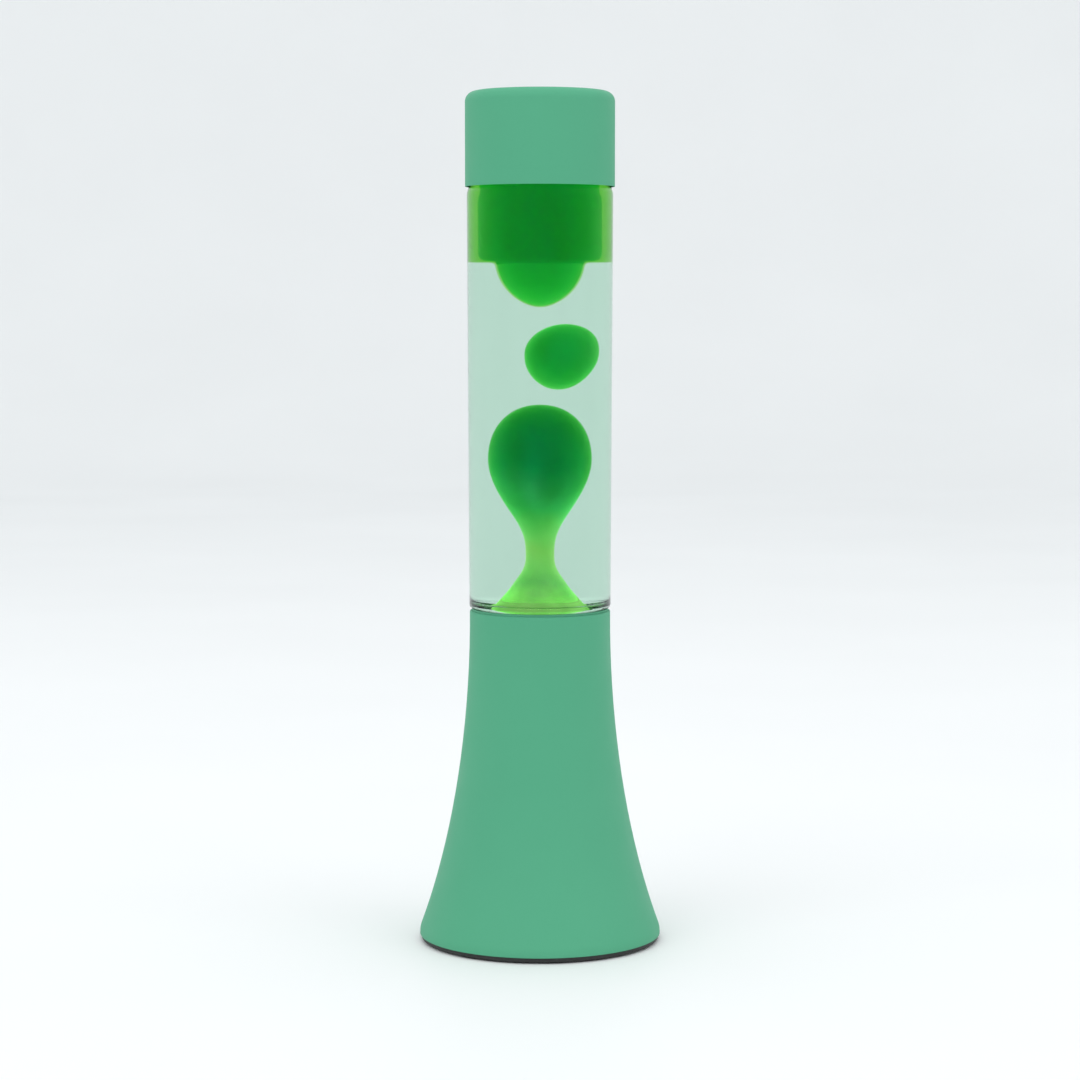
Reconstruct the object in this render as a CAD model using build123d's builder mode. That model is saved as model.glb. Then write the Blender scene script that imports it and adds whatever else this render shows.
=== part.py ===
"""A lava lamp: a flared metal base, a glass bottle of wax and liquid, and a lift-off metal cap.

Millimetres, +Z up, origin on the table under the middle of the base. The cord gland faces +Y, the back.
Each piece is a solid, or a group of identical solids, and is written to parts/NAME.step.
"""

import os
from math import atan, cos, degrees, radians, sin, sqrt

from build123d import *

# ---------------------------------------------------------------- driving dimensions
TOTAL_H = 370.0  # table to cap top
FOOT_R = 52.9  # base shell at its widest
RIM_R = 30.7  # base shell at its rim
RIM_Z = 145.5  # top of the base shell
BODY_BOTTOM_R = 30.9  # bottle just above the base
BODY_TOP_R = 31.7  # bottle just below its shoulder
CAP_R = 32.4  # cap, outside
CAP_Z = 329.2  # lower edge of the cap
BULB_TIP_Z = 28.0  # lowest point of the bulb

GAP = 0.3  # between pieces that move against each other
FIT = 0.05  # between pieces that are fixed together

# base shell, and the plate and pads that close it below
SHELL_T = 1.2
HEM_R = 9.0
HEM_TURN = 19.0
FLARE_END = (FOOT_R - 0.6, 6.6)  # where the flare meets the rounded hem
RIM_HOLE_R = 28.2
RIM_ROUND = 0.9
PAD_PROUD = 0.6
PLATE_T = 2.0
PLATE_TOP = PAD_PROUD + PLATE_T
PLATE_R = FOOT_R - 0.8
PAD_R = 5.0
PAD_CIRCLE_R = 44.0
PAD_POCKET = 1.2
VENT_COUNT = 12
VENT_CIRCLE_R = 15.5
VENT_L, VENT_W = 9.0, 2.6

# posts, lugs and screws that hold the plate in the shell
POST_CIRCLE_R = 42.0
POST_COUNT = 3
POST_START = 30
POST_R = 5.0
LUG_Z = 9.0
LUG_T = 1.2
LUG_H = 10.0
LUG_ARC = 16.0
M3_HEAD_Z = 3.5
M3_HEAD_H = 1.85
M3_HEAD_R = 2.8
M3_R = 1.45
M3_L = 7.0
M3_CROSS = (3.2, 0.7)  # length and width of each slot of the cross

# cord gland, set square to the back wall
GLAND_Z = 20.0
GLAND_R = 6.2
GLAND_FLANGE_R = 7.6
GLAND_SEAT = 0.3
GLAND_FLANGE_T = 1.5
GLAND_NOSE = 1.4
GLAND_NOSE_R = 5.4
GLAND_REACH = 9.0
GLAND_BORE_R = 3.4
GLAND_NUT_R = 8.6
GLAND_NUT_T = 3.2
GLAND_NUT_GAP = 1.2  # between the nut's flat face and the curved wall

# terminal block
BLOCK_W, BLOCK_D, BLOCK_H = 27.0, 14.0, 12.0
BLOCK_Y = 31.0
WAY_PITCH = 8.0
WAY_Z = PLATE_TOP + 5.0
WAY_SCREW_Y = 3.5
TUBE_R = 2.0
TUBE_BORE_R = 1.35
TUBE_L = 12.0

# lampholder and its bracket
STRIP_T = 1.5
STRIP_W = 16.0
BRACKET_TOP = 20.0
BRACKET_FOOT_Z = 7.0
BRACKET_LEG_X = 17.0
BRACKET_END_X = 31.0
BRACKET_SCREW_X = 26.0
BOSS_R = 4.5
WASHER_Z = BRACKET_FOOT_Z + STRIP_T
WASHER_T = 0.8
M4_R = 1.7
M4_HEAD_R = 3.6
M4_HEAD_H = 2.4
M4_L = 7.0
M4_CROSS = (4.0, 0.8)
NIPPLE_R = 4.95
NIPPLE_LOW = 12.4
NIPPLE_TOP = 23.0
NIPPLE_BORE_R = 3.6
NIPPLE_NUT_R = 7.0
NIPPLE_NUT_T = 4.0
HOLDER_R = 13.5
HOLDER_FLOOR = 25.0
HOLDER_TOP = 50.0
HOLDER_BORE_R = 8.2
HOLDER_MOUTH_R = 10.0
LINER_R = 7.4
LINER_LOW = 32.0
LINER_TOP = 46.0
WIRE_R = 1.2
WIRE_X = 5.0
WIRE_Z = 27.5
WIRE_BEND_R = 3.2

# bulb
BULB_L = 67.0
BULB_TOP = BULB_TIP_Z + BULB_L
BULB_R = 19.5
BULB_NECK_R = 7.9
BULB_NECK_LOW = 49.6
BULB_GLASS_T = 0.8
BULB_THREAD_R = 6.9
BULB_SKIRT_R = 8.5
STEM_TOP = 64.0
FILAMENT_Z = 75.0
FILAMENT_HALF = 6.0

# bottle
GLASS_T = 2.3
BOTTLE_BOTTOM = 112.0
FLOOR_KICK = 3.0
HEEL_R = 4.0
SPIGOT_R = 26.2
SPIGOT_ROOT_R = 1.6
GASKET_T = 0.8
STEP_Z = RIM_Z + GASKET_T + GAP  # underside of the step that rests on the gasket
STEP_CORNER_R = 1.4
SHOULDER_Z = 325.2
SHOULDER_R = 8.0
SHOULDER_TURN = 55.0
NECK_R = 13.0
NECK_BEND = 6.0
NECK_TOP = 358.0
LIQUID_TOP = 337.0

# heating coil, a spring bent into a ring on the bottle's floor
COIL_RING_R = 17.4
COIL_R = 2.4
COIL_Z = BOTTLE_BOTTOM + GLASS_T + COIL_R + 0.2

# wax, held at one moment of its flow
WAX_FILM = 0.3  # liquid left between the wax and the glass
WAX_TOP_EDGE = 296.4
LOBE_BOTTOM = 277.2
LOBE_R = 14.5
BALL_CENTRE = (7.2, 0.0, 256.0)
BALL_R = 12.4
BALL_HALF_H = 14.1
BALL_TRAVEL = 5.0
COLUMN_TOP = 235.5
COLUMN_R = 17.0
COLUMN_NECK_R = 4.7

# crown closure and cap
CROWN_R = 16.0
CROWN_T = 0.5
CAP_T = 0.7
CAP_EDGE_R = 4.5
GRIP_Z = 339.0
GRIP_H = 3.0
GRIP_HOLE_R = 18.5


# ---------------------------------------------------------------- shared outlines and helpers
def flare_points(inset):
    """Control points of the base shell's flare, from the rim down, moved inwards by inset."""
    points = [(RIM_R, RIM_Z), (RIM_R, RIM_Z - 8.5), (RIM_R - 1.2, 69.0), FLARE_END]
    return [(r - inset, z) for r, z in points]


def flare_r(z, inset=0.0):
    """Radius of the flare at height z, found by halving the curve's parameter."""
    low, high = 0.0, 1.0
    for _ in range(40):
        t = (low + high) / 2
        weights = ((1 - t) ** 3, 3 * (1 - t) ** 2 * t, 3 * (1 - t) * t**2, t**3)
        r_here = sum(w * p[0] for w, p in zip(weights, flare_points(inset)))
        z_here = sum(w * p[1] for w, p in zip(weights, flare_points(inset)))
        low, high = (t, high) if z_here > z else (low, t)
    return r_here


def bore_r(z):
    """Inner radius of the bottle's slightly tapered body at height z."""
    share = (z - STEP_Z) / (SHOULDER_Z - STEP_Z)
    return BODY_BOTTOM_R + share * (BODY_TOP_R - BODY_BOTTOM_R) - GLASS_T


def upright(angle):
    """The vertical half plane at an angle about Z: local x points outwards and local y up."""
    a = radians(angle)
    return Plane(origin=(0, 0, 0), x_dir=(cos(a), sin(a), 0), z_dir=(sin(a), -cos(a), 0))


def ring(outer_r, inner_r, low, high):
    """A plain ring about Z, added to the active part."""
    with BuildSketch(Plane.XY.offset(low)) as section:
        Circle(outer_r)
        Circle(inner_r, mode=Mode.SUBTRACT)
    extrude(section.sketch, amount=high - low)


def revolved(points):
    """A closed polygon of (radius, z) points turned about Z, added to the active part."""
    with BuildSketch(Plane.XZ) as section:
        with BuildLine():
            Polyline(*points, close=True)
        make_face()
    revolve(section.sketch, axis=Axis.Z)


def cross(length, width):
    """A cross-head recess's outline, at each location of the active sketch."""
    Rectangle(length, width)
    Rectangle(width, length)


def save(name, part):
    """Labels a finished piece and writes it."""
    part.label = name
    export_step(part, f"parts/{name}.step")


os.makedirs("parts", exist_ok=True)

WALL_LEAN = degrees(atan((flare_r(GLAND_Z - 1) - flare_r(GLAND_Z + 1)) / 2))
GLAND_AXIS = (0, cos(radians(WALL_LEAN)), sin(radians(WALL_LEAN)))
GLAND_PLANE = Plane(origin=(0, flare_r(GLAND_Z), GLAND_Z), x_dir=(1, 0, 0), z_dir=GLAND_AXIS)

# ---------------------------------------------------------------- base shell, spun from one sheet
with BuildPart() as base_shell:
    with BuildSketch(Plane.XZ):
        with BuildLine():
            flare = Bezier(*flare_points(0))
            hem = JernArc(flare @ 1, flare % 1, HEM_R, -HEM_TURN)
            foot = Line(hem @ 1, ((hem @ 1).X, PLATE_TOP + FIT))
            foot_edge = Line(foot @ 1, ((foot @ 1).X - SHELL_T, PLATE_TOP + FIT))
            inner_foot = Line(foot_edge @ 1, ((foot_edge @ 1).X, (hem @ 1).Y))
            low_end, low_handle, high_handle, _ = flare_points(SHELL_T)[::-1]
            inner_hem = Line(inner_foot @ 1, low_end)
            inner_flare = Bezier(low_end, low_handle, high_handle, (RIM_R - SHELL_T, RIM_Z - SHELL_T))
            rim_under = Line(inner_flare @ 1, (RIM_HOLE_R, RIM_Z - SHELL_T))
            rim_edge = Line(rim_under @ 1, (RIM_HOLE_R, RIM_Z))
            Line(rim_edge @ 1, flare @ 0)
        make_face()
    revolve(axis=Axis.Z)
    rim_circles = base_shell.edges().filter_by(GeomType.CIRCLE).group_by(Axis.Z)[-1]
    fillet(rim_circles.sort_by(SortBy.RADIUS)[-1], RIM_ROUND)
    with BuildSketch(GLAND_PLANE):
        Circle(GLAND_R + FIT)
    extrude(amount=6, both=True, mode=Mode.SUBTRACT)
save("base_shell", base_shell.part)

# ---------------------------------------------------------------- moulded plate that closes the base
with BuildPart() as base_plate:
    with BuildSketch(Plane.XY.offset(PAD_PROUD)):
        Circle(PLATE_R)
    extrude(amount=PLATE_T)
    fillet(base_plate.edges().sort_by(Axis.Z)[0], 0.5)
    ring(FOOT_R - SHELL_T - 1.3, FOOT_R - SHELL_T - 3.0, PLATE_TOP, PLATE_TOP + 3.0)
    with BuildSketch(Plane.XY.offset(PLATE_TOP)):
        with PolarLocations(POST_CIRCLE_R, POST_COUNT, start_angle=POST_START):
            Circle(POST_R)
    extrude(amount=LUG_Z - FIT - PLATE_TOP)
    with BuildSketch(Plane.XY.offset(PLATE_TOP)):
        with PolarLocations(BRACKET_SCREW_X, 2):
            Circle(BOSS_R)
    extrude(amount=BRACKET_FOOT_Z - FIT - PLATE_TOP)
    with BuildSketch(Plane.XY.offset(PAD_PROUD)):
        with PolarLocations(POST_CIRCLE_R, POST_COUNT, start_angle=POST_START):
            Circle(M3_HEAD_R + 0.5)
    extrude(amount=M3_HEAD_Z + M3_HEAD_H + FIT - PAD_PROUD, mode=Mode.SUBTRACT)
    with BuildSketch(Plane.XY.offset(LUG_Z)):
        with PolarLocations(POST_CIRCLE_R, POST_COUNT, start_angle=POST_START):
            Circle(M3_R + 0.25)
    extrude(amount=-LUG_Z, mode=Mode.SUBTRACT)
    with BuildSketch(Plane.XY.offset(PAD_PROUD)):
        with PolarLocations(PAD_CIRCLE_R, 4, start_angle=45):
            Circle(PAD_R + 0.1)
    extrude(amount=PAD_POCKET, mode=Mode.SUBTRACT)
    with BuildSketch(Plane.XY.offset(BRACKET_FOOT_Z)):
        with PolarLocations(BRACKET_SCREW_X, 2):
            Circle(M4_R + FIT)
    extrude(amount=-5.2, mode=Mode.SUBTRACT)
    with BuildSketch(Plane.XY.offset(PAD_PROUD)):
        with PolarLocations(VENT_CIRCLE_R, VENT_COUNT):
            SlotOverall(VENT_L, VENT_W)
    extrude(amount=PLATE_T, mode=Mode.SUBTRACT)
save("base_plate", base_plate.part)

with BuildPart() as rubber_feet:
    with BuildSketch():
        with PolarLocations(PAD_CIRCLE_R, 4, start_angle=45):
            Circle(PAD_R)
    extrude(amount=PAD_PROUD + PAD_POCKET - FIT)
    fillet(rubber_feet.edges().group_by(Axis.Z)[0], 0.4)
save("rubber_feet", rubber_feet.part)

# angle lugs welded inside the shell, tapped for the plate's screws
with BuildPart() as shell_lugs:
    lug_low_r = flare_r(LUG_Z, SHELL_T) - 0.35
    lug_high_r = flare_r(LUG_Z + LUG_H, SHELL_T) - 0.35
    for post in range(POST_COUNT):
        with BuildSketch(upright(POST_START + post * 360 / POST_COUNT - LUG_ARC / 2)):
            with BuildLine():
                Polyline(
                    (POST_CIRCLE_R - 4.5, LUG_Z),
                    (lug_low_r, LUG_Z),
                    (lug_high_r, LUG_Z + LUG_H),
                    (lug_high_r - LUG_T, LUG_Z + LUG_H),
                    (lug_low_r - LUG_T, LUG_Z + LUG_T),
                    (POST_CIRCLE_R - 4.5, LUG_Z + LUG_T),
                    close=True,
                )
            make_face()
        revolve(axis=Axis.Z, revolution_arc=LUG_ARC)
    with BuildSketch(Plane.XY.offset(LUG_Z)):
        with PolarLocations(POST_CIRCLE_R, POST_COUNT, start_angle=POST_START):
            Circle(M3_R + FIT)
    extrude(amount=LUG_T, mode=Mode.SUBTRACT)
save("shell_lugs", shell_lugs.part)

# pan-head screws, driven upwards from below
with BuildPart() as plate_screws:
    with BuildSketch(Plane.XY.offset(M3_HEAD_Z)):
        with PolarLocations(POST_CIRCLE_R, POST_COUNT, start_angle=POST_START):
            Circle(M3_HEAD_R)
    extrude(amount=M3_HEAD_H)
    fillet(plate_screws.edges().group_by(Axis.Z)[0], 0.8)
    with BuildSketch(Plane.XY.offset(M3_HEAD_Z + M3_HEAD_H)):
        with PolarLocations(POST_CIRCLE_R, POST_COUNT, start_angle=POST_START):
            Circle(M3_R)
    extrude(amount=M3_L)
    with BuildSketch(Plane.XY.offset(M3_HEAD_Z)):
        with PolarLocations(POST_CIRCLE_R, POST_COUNT, start_angle=POST_START):
            cross(*M3_CROSS)
    extrude(amount=1.1, mode=Mode.SUBTRACT)
save("plate_screws", plate_screws.part)

# ---------------------------------------------------------------- cord gland and its nut
with BuildPart() as cord_gland:
    with BuildSketch(GLAND_PLANE.offset(GLAND_SEAT)):
        Circle(GLAND_FLANGE_R)
    extrude(amount=GLAND_FLANGE_T)
    fillet(cord_gland.edges().filter_by(GeomType.CIRCLE).sort_by(Axis.Y)[-1], 0.6)
    with BuildSketch(GLAND_PLANE.offset(GLAND_SEAT + GLAND_FLANGE_T)):
        Circle(GLAND_NOSE_R)
    extrude(amount=GLAND_NOSE, taper=8)
    with BuildSketch(GLAND_PLANE.offset(GLAND_SEAT)):
        Circle(GLAND_R)
    extrude(amount=-GLAND_SEAT - GLAND_REACH)
    with BuildSketch(GLAND_PLANE.offset(GLAND_SEAT + GLAND_FLANGE_T + GLAND_NOSE)):
        Circle(GLAND_BORE_R)
    extrude(amount=-(GLAND_SEAT + GLAND_FLANGE_T + GLAND_NOSE + GLAND_REACH), mode=Mode.SUBTRACT)
save("cord_gland", cord_gland.part)

with BuildPart() as gland_nut:
    with BuildSketch(GLAND_PLANE.offset(-SHELL_T - GLAND_NUT_GAP)):
        RegularPolygon(GLAND_NUT_R, 6)
        Circle(GLAND_R + FIT, mode=Mode.SUBTRACT)
    extrude(amount=-GLAND_NUT_T)
save("gland_nut", gland_nut.part)

# ---------------------------------------------------------------- terminal block for the cord's ends
with BuildPart() as terminal_block:
    with BuildSketch(Plane.XZ.offset(-BLOCK_Y - BLOCK_D / 2)):
        with Locations((0, PLATE_TOP + FIT)):
            Rectangle(BLOCK_W, BLOCK_H, align=(Align.CENTER, Align.MIN))
        fillet(vertices().group_by(Axis.Y)[-1], 1.2)
        with Locations((0, PLATE_TOP + BLOCK_H)):
            with GridLocations(WAY_PITCH, 1, 2, 1):
                Rectangle(1.4, 6.0, mode=Mode.SUBTRACT)
        with Locations((0, WAY_Z)):
            with GridLocations(WAY_PITCH, 1, 3, 1):
                Circle(TUBE_R + FIT, mode=Mode.SUBTRACT)
    extrude(amount=BLOCK_D)
    with BuildSketch(Plane.XY.offset(PLATE_TOP + BLOCK_H + 1)):
        with Locations((0, BLOCK_Y)):
            with GridLocations(WAY_PITCH, 2 * WAY_SCREW_Y, 3, 2):
                Circle(1.9)
    extrude(amount=-(PLATE_TOP + BLOCK_H + 1 - WAY_Z), mode=Mode.SUBTRACT)
save("terminal_block", terminal_block.part)

with BuildPart() as terminal_tubes:
    with BuildSketch(Plane.XZ.offset(-BLOCK_Y - TUBE_L / 2)):
        with Locations((0, WAY_Z)):
            with GridLocations(WAY_PITCH, 1, 3, 1):
                Circle(TUBE_R)
                Circle(TUBE_BORE_R, mode=Mode.SUBTRACT)
    extrude(amount=TUBE_L)
    with BuildSketch(Plane.XY.offset(WAY_Z)):
        with Locations((0, BLOCK_Y)):
            with GridLocations(WAY_PITCH, 2 * WAY_SCREW_Y, 3, 2):
                Circle(1.0)
    extrude(amount=TUBE_R + 1, mode=Mode.SUBTRACT)
save("terminal_tubes", terminal_tubes.part)

with BuildPart() as terminal_screws:
    with BuildSketch(Plane.XY.offset(WAY_Z + 0.2)):
        with Locations((0, BLOCK_Y)):
            with GridLocations(WAY_PITCH, 2 * WAY_SCREW_Y, 3, 2):
                Circle(0.95)
    extrude(amount=3.0)
    with BuildSketch(Plane.XY.offset(WAY_Z + 2.6)):
        with Locations((0, BLOCK_Y)):
            with GridLocations(WAY_PITCH, 2 * WAY_SCREW_Y, 3, 2):
                Circle(1.8)
    extrude(amount=2.4)
    with BuildSketch(Plane.XY.offset(WAY_Z + 5.0)):
        with Locations((0, BLOCK_Y)):
            with GridLocations(WAY_PITCH, 2 * WAY_SCREW_Y, 3, 2):
                Rectangle(4.0, 0.7, rotation=30)
    extrude(amount=-0.9, mode=Mode.SUBTRACT)
save("terminal_screws", terminal_screws.part)

# ---------------------------------------------------------------- bracket that carries the lampholder
with BuildPart() as holder_bracket:
    with BuildSketch(Plane.XZ.offset(-STRIP_W / 2)):
        with BuildLine():
            FilletPolyline(
                (BRACKET_END_X, BRACKET_FOOT_Z),
                (BRACKET_LEG_X, BRACKET_FOOT_Z),
                (BRACKET_LEG_X, BRACKET_TOP - STRIP_T),
                (-BRACKET_LEG_X, BRACKET_TOP - STRIP_T),
                (-BRACKET_LEG_X, BRACKET_FOOT_Z),
                (-BRACKET_END_X, BRACKET_FOOT_Z),
                radius=(2.2, 0.8, 0.8, 2.2),
            )
            offset(amount=STRIP_T, side=Side.RIGHT)
        make_face()
    extrude(amount=STRIP_W)
    strip_ends = holder_bracket.edges().filter_by(Axis.Z).group_by(Axis.X)
    fillet(strip_ends[0] + strip_ends[-1], 3.0)
    with BuildSketch(Plane.XY.offset(BRACKET_TOP)):
        Circle(NIPPLE_R + 0.15)
    extrude(amount=-3, mode=Mode.SUBTRACT)
    with BuildSketch(Plane.XY.offset(WASHER_Z)):
        with PolarLocations(BRACKET_SCREW_X, 2):
            Circle(M4_R + 0.5)
    extrude(amount=-3, mode=Mode.SUBTRACT)
save("holder_bracket", holder_bracket.part)

with BuildPart() as bracket_washer:
    with BuildSketch(Plane.XY.offset(WASHER_Z)):
        with Locations((-BRACKET_SCREW_X, 0)):
            Circle(4.3)
            Circle(M4_R + 0.45, mode=Mode.SUBTRACT)
    extrude(amount=WASHER_T)
save("bracket_washer", bracket_washer.part)

# eyelet and crimp barrel of the earth lead, under the right-hand screw
with BuildPart() as earth_tag:
    with BuildSketch(Plane.XY.offset(WASHER_Z)):
        with Locations((BRACKET_SCREW_X, 0)):
            Circle(4.0)
        with Locations((BRACKET_SCREW_X, 4.5)):
            Rectangle(3.0, 7.0)
        with Locations((BRACKET_SCREW_X, 0)):
            Circle(M4_R + 0.45, mode=Mode.SUBTRACT)
    extrude(amount=WASHER_T)
    with BuildSketch(Plane.XZ.offset(-10.0)):
        with Locations((BRACKET_SCREW_X, WASHER_Z + 1.75)):
            Circle(1.75)
    extrude(amount=4.5)
    with BuildSketch(Plane.XZ.offset(-10.0)):
        with Locations((BRACKET_SCREW_X, WASHER_Z + 1.75)):
            Circle(WIRE_R + FIT)
    extrude(amount=3.5, mode=Mode.SUBTRACT)
save("earth_tag", earth_tag.part)

with BuildPart() as bracket_screws:
    with BuildSketch(Plane.XY.offset(WASHER_Z + WASHER_T)):
        with PolarLocations(BRACKET_SCREW_X, 2):
            Circle(M4_HEAD_R)
    extrude(amount=M4_HEAD_H)
    fillet(bracket_screws.edges().group_by(Axis.Z)[-1], 1.2)
    with BuildSketch(Plane.XY.offset(WASHER_Z + WASHER_T)):
        with PolarLocations(BRACKET_SCREW_X, 2):
            Circle(M4_R)
    extrude(amount=-M4_L)
    with BuildSketch(Plane.XY.offset(WASHER_Z + WASHER_T + M4_HEAD_H)):
        with PolarLocations(BRACKET_SCREW_X, 2):
            cross(*M4_CROSS)
    extrude(amount=-1.3, mode=Mode.SUBTRACT)
save("bracket_screws", bracket_screws.part)

# ---------------------------------------------------------------- lampholder
with BuildPart() as holder_nipple:
    ring(NIPPLE_R, NIPPLE_BORE_R, NIPPLE_LOW, NIPPLE_TOP)
save("holder_nipple", holder_nipple.part)

with BuildPart() as nipple_nut:
    with BuildSketch(Plane.XY.offset(BRACKET_TOP - STRIP_T - FIT)):
        RegularPolygon(NIPPLE_NUT_R, 6, major_radius=False)
        Circle(NIPPLE_R + FIT, mode=Mode.SUBTRACT)
    extrude(amount=-NIPPLE_NUT_T)
save("nipple_nut", nipple_nut.part)

with BuildPart() as lampholder_body:
    revolved([
        (NIPPLE_R + FIT, BRACKET_TOP + FIT),
        (10.5, BRACKET_TOP + FIT),
        (HOLDER_R, BRACKET_TOP + 4.0),
        (HOLDER_R, HOLDER_TOP - 7.0),
        (HOLDER_R + 1.2, HOLDER_TOP - 6.0),
        (HOLDER_R + 1.2, HOLDER_TOP),
        (HOLDER_MOUTH_R, HOLDER_TOP),
        (HOLDER_MOUTH_R, LINER_TOP + FIT),
        (HOLDER_BORE_R, LINER_TOP + FIT),
        (HOLDER_BORE_R, HOLDER_FLOOR),
        (3.4, HOLDER_FLOOR),
        (3.4, NIPPLE_TOP + FIT),
        (NIPPLE_R + FIT, NIPPLE_TOP + FIT),
    ])
    fillet(lampholder_body.edges().group_by(Axis.Z)[-1].sort_by(SortBy.RADIUS)[-1], 0.8)
    with BuildSketch(Plane.XZ.offset(-HOLDER_R - 2)):
        with Locations((WIRE_X, WIRE_Z), (-WIRE_X, WIRE_Z)):
            Circle(WIRE_R + 0.1)
    extrude(amount=7.2, mode=Mode.SUBTRACT)
save("lampholder_body", lampholder_body.part)

with BuildPart() as lampholder_liner:
    ring(HOLDER_BORE_R - FIT, LINER_R, LINER_LOW, LINER_TOP)
save("lampholder_liner", lampholder_liner.part)

# springy centre contact, a bowed strip
with BuildPart() as lampholder_contact:
    with BuildSketch(Plane.XZ.offset(-2.0)):
        with BuildLine():
            ThreePointArc((-6.5, HOLDER_FLOOR + 0.1), (0, BULB_TIP_Z - GAP - 0.5), (6.5, HOLDER_FLOOR + 0.1))
            offset(amount=0.5, side=Side.LEFT)
        make_face()
    extrude(amount=4.0)
save("lampholder_contact", lampholder_contact.part)

# ---------------------------------------------------------------- insulated leads inside the base
BLOCK_FRONT = BLOCK_Y - BLOCK_D / 2 + 2.0
HOLDER_WALL_Y = sqrt(HOLDER_R**2 - WIRE_X**2) - 0.6
TAG_Z = WASHER_Z + 1.75
LEAD_ROUTES = {
    "lead_live": [
        (-WAY_PITCH, BLOCK_FRONT, WAY_Z),
        (-WAY_PITCH, 18.0, WAY_Z),
        (-WIRE_X, 18.5, WIRE_Z),
        (-WIRE_X, HOLDER_WALL_Y, WIRE_Z),
    ],
    "lead_neutral": [
        (0, BLOCK_FRONT, WAY_Z),
        (0, 18.5, WAY_Z),
        (WIRE_X, 18.5, WIRE_Z),
        (WIRE_X, HOLDER_WALL_Y, WIRE_Z),
    ],
    "lead_earth": [
        (WAY_PITCH, BLOCK_FRONT, WAY_Z),
        (WAY_PITCH, 17.5, WAY_Z),
        (BRACKET_SCREW_X, 17.0, TAG_Z),
        (BRACKET_SCREW_X, 6.8, TAG_Z),
    ],
}
for lead_name, points in LEAD_ROUTES.items():
    with BuildPart() as lead:
        with BuildLine() as route:
            FilletPolyline(*points, radius=WIRE_BEND_R)
        with BuildSketch(Plane(origin=route.line @ 0, z_dir=route.line % 0)):
            Circle(WIRE_R)
        sweep(path=route.line)
    save(lead_name, lead.part)

# ---------------------------------------------------------------- gasket that the bottle stands on
with BuildPart() as seat_gasket:
    ring(RIM_R - RIM_ROUND - 0.1, RIM_HOLE_R + 0.1, RIM_Z, RIM_Z + GASKET_T)
save("seat_gasket", seat_gasket.part)


# ---------------------------------------------------------------- reflector bulb with a small screw cap
def bulb_outline(inset):
    """The closed half outline of the bulb's glass, moved inwards by inset, on the active sketch."""
    with BuildLine() as outline:
        end_face = Line((0, BULB_NECK_LOW + inset), (BULB_NECK_R - 1.5, BULB_NECK_LOW + inset))
        end_round = JernArc(end_face @ 1, (1, 0), 1.5 - inset, 90)
        neck = Line(end_round @ 1, (BULB_NECK_R - inset, 56.0))
        wide_r = BULB_R - inset
        cone = Bezier(neck @ 1, (BULB_NECK_R - inset, 64.0), (wide_r, 68.0), (wide_r, 80.0))
        crown = Bezier(cone @ 1, (wide_r, 88.5), (12.0, BULB_TOP - inset), (0, BULB_TOP - inset))
        Line(crown @ 1, end_face @ 0)
    make_face(outline.line)


with BuildPart() as bulb_envelope:
    with BuildSketch(Plane.XZ):
        bulb_outline(0)
    revolve(axis=Axis.Z)
    with BuildSketch(Plane.XZ):
        bulb_outline(BULB_GLASS_T)
    revolve(axis=Axis.Z, mode=Mode.SUBTRACT)
save("bulb_envelope", bulb_envelope.part)

with BuildPart() as bulb_screw_cap:
    revolved([
        (BULB_THREAD_R - 0.6, 33.0),
        (BULB_THREAD_R, 33.6),
        (BULB_THREAD_R, 47.0),
        (BULB_SKIRT_R, 49.0),
        (BULB_SKIRT_R, 53.0),
        (BULB_NECK_R + FIT, 53.0),
        (BULB_NECK_R + FIT, 49.2),
        (BULB_THREAD_R - 0.6, 47.4),
    ])
save("bulb_screw_cap", bulb_screw_cap.part)

CONTACT_TOP = BULB_TIP_Z + 1.25
with BuildPart() as bulb_insulator:
    revolved([
        (0, CONTACT_TOP + FIT),
        (2.6, CONTACT_TOP + FIT),
        (BULB_THREAD_R - 0.65, 32.6),
        (BULB_THREAD_R - 0.65, 34.0),
        (0, 34.0),
    ])
save("bulb_insulator", bulb_insulator.part)

with BuildPart() as bulb_contact:
    with BuildSketch(Plane.XZ):
        with BuildLine():
            solder = Bezier((0, BULB_TIP_Z), (1.7, BULB_TIP_Z), (2.4, CONTACT_TOP - 0.6), (2.4, CONTACT_TOP))
            Polyline(solder @ 1, (0, CONTACT_TOP), solder @ 0)
        make_face()
    revolve(axis=Axis.Z)
save("bulb_contact", bulb_contact.part)

with BuildPart() as bulb_stem:
    revolved([
        (0, BULB_NECK_LOW + BULB_GLASS_T + FIT),
        (4.6, BULB_NECK_LOW + BULB_GLASS_T + FIT),
        (3.0, BULB_NECK_LOW + 5.0),
        (2.6, STEM_TOP),
        (0, STEM_TOP),
    ])
save("bulb_stem", bulb_stem.part)

with BuildPart() as bulb_support_wires:
    for side in (-1, 1):
        with BuildLine() as wire_route:
            FilletPolyline(
                (side * 1.5, 0, STEM_TOP + FIT),
                (side * 1.5, 0, STEM_TOP + 3),
                (side * FILAMENT_HALF, 0, FILAMENT_Z),
                radius=1.5,
            )
        with BuildSketch(Plane(origin=wire_route.line @ 0, z_dir=(0, 0, 1))):
            Circle(0.35)
        sweep(path=wire_route.line)
save("bulb_support_wires", bulb_support_wires.part)

with BuildPart() as bulb_filament:
    filament_end = FILAMENT_Z + 0.7
    with BuildLine() as filament_route:
        ThreePointArc(
            (-FILAMENT_HALF, 0, filament_end),
            (0, 0, filament_end + 2.5),
            (FILAMENT_HALF, 0, filament_end),
        )
    with BuildSketch(Plane(origin=filament_route.line @ 0, z_dir=filament_route.line % 0)):
        Circle(0.4)
    sweep(path=filament_route.line)
save("bulb_filament", bulb_filament.part)


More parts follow.
